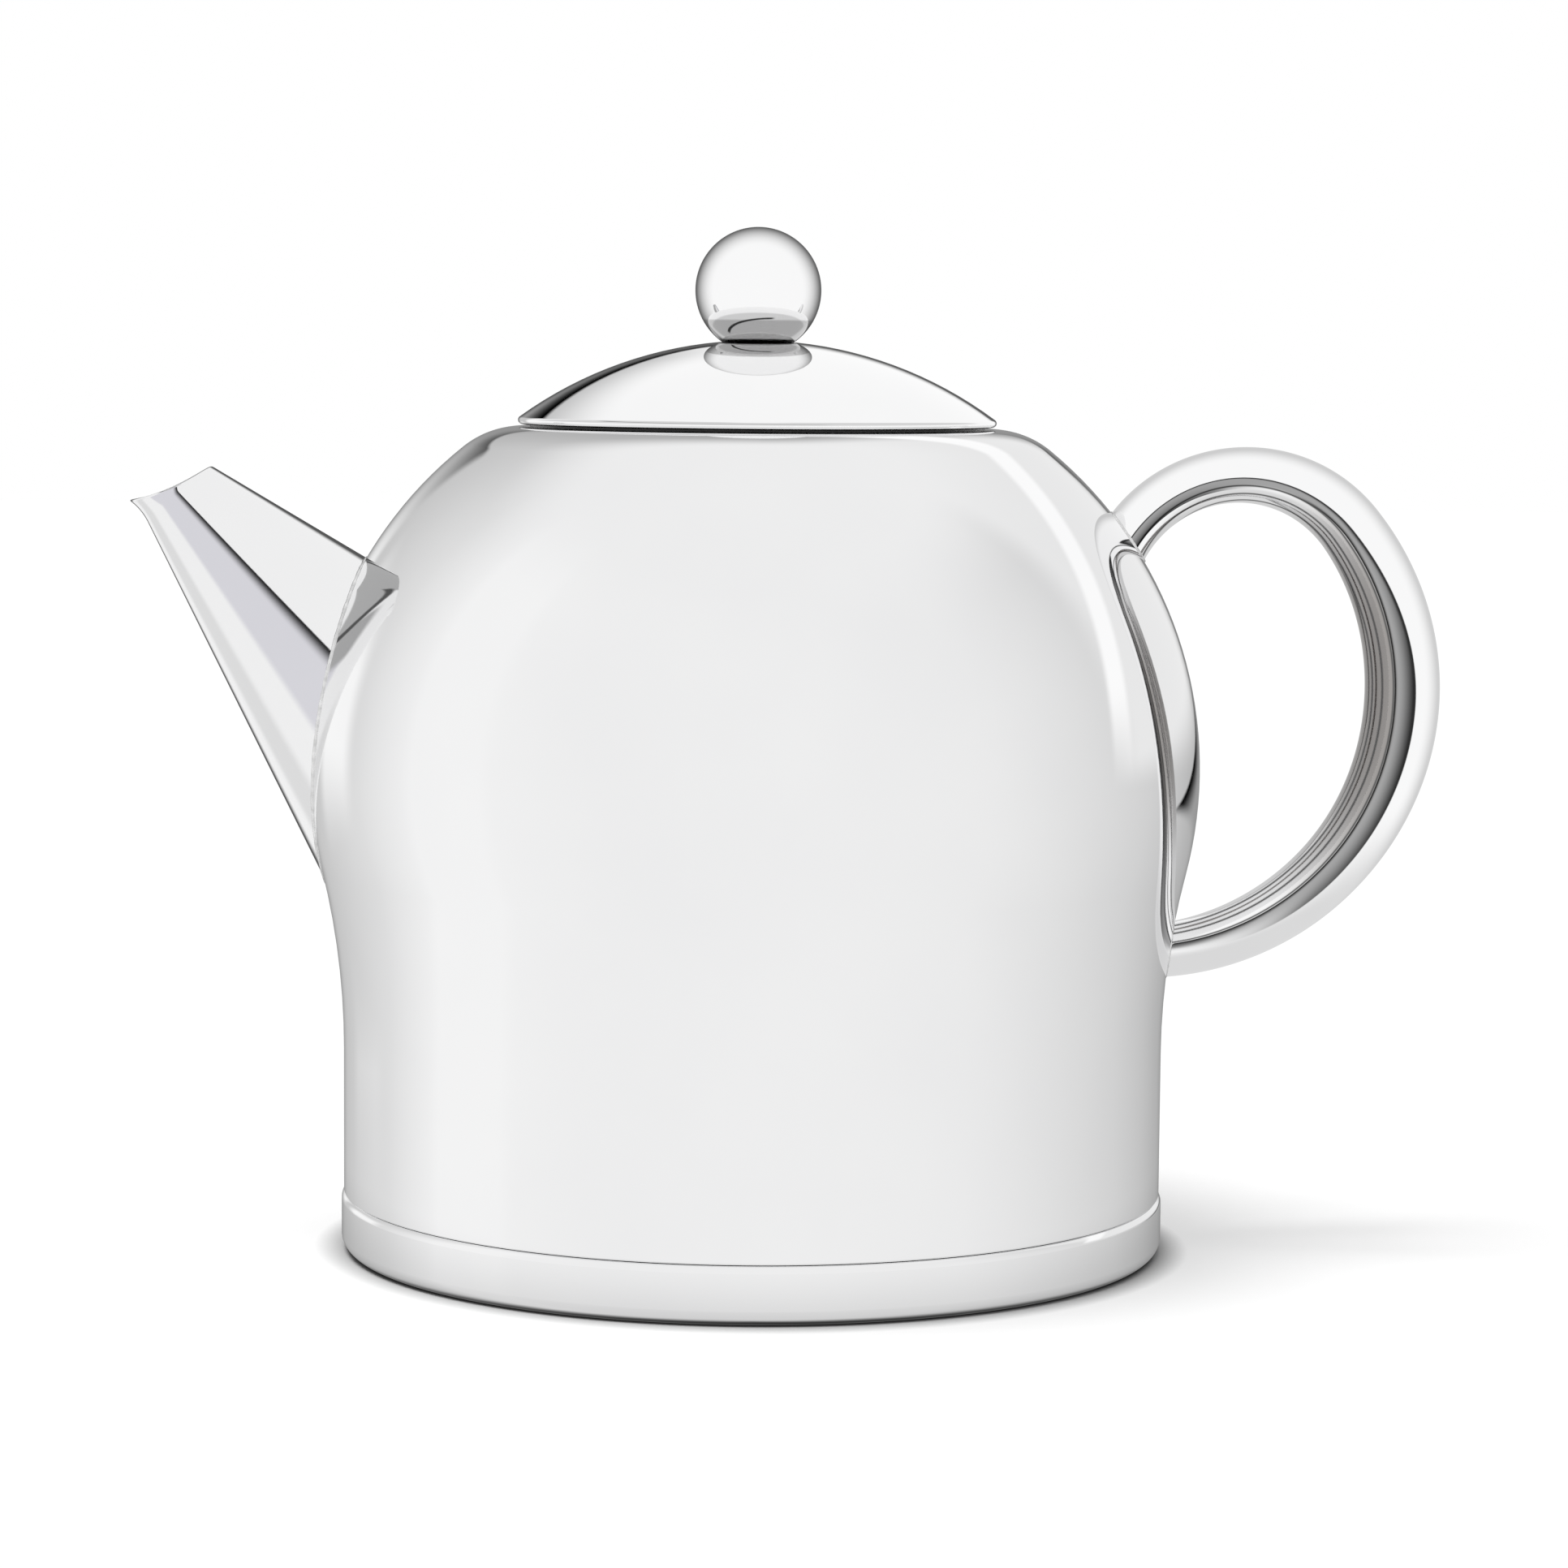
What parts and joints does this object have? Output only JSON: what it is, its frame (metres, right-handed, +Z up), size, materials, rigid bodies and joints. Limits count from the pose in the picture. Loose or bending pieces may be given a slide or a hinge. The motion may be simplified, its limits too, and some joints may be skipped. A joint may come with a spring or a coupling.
{
  "type": "teapot",
  "caption": "Double-walled polished steel teapot with a waisted body, conical spout, tube loop handle, lift-off domed lid with ball knob and lift-out tea basket.",
  "frame": {"origin": "centre of the standing ring under the foot, on the vessel's axis", "axes": "+Z up along the vessel's axis, +X towards the handle, -X towards the spout"},
  "size_m": [0.2551, 0.1734, 0.199],
  "materials": {
    "polished_steel": "mirror-polished stainless steel",
    "satin_steel": "satin stainless steel of the wetted and hidden pieces",
    "plain_steel": "plain turned steel of the knob's fastening"
  },
  "bodies": {
    "pot": {"outer_shell": "polished_steel", "base_cup": "polished_steel", "vessel_neck": "satin_steel", "vessel_dome": "satin_steel", "vessel_wall": "satin_steel", "vessel_floor": "satin_steel", "spout": "polished_steel", "spout_throat": "satin_steel", "handle": "polished_steel"},
    "infuser": {"infuser_collar": "satin_steel", "infuser_basket": "satin_steel", "infuser_floor": "satin_steel"},
    "lid": {"lid_cover": "polished_steel", "lid_skirt": "satin_steel", "knob_ball": "polished_steel", "knob_insert": "plain_steel", "knob_washer": "plain_steel", "knob_screw": "plain_steel"}
  },
  "joints": [
    {"name": "infuser_lift", "type": "slide", "parent": "pot", "child": "infuser", "axis": [0, 0, 1], "range_m": [0, 0.12]},
    {"name": "lid_lift", "type": "slide", "parent": "infuser", "child": "lid", "axis": [0, 0, 1], "range_m": [0, 0.08]}
  ]
}
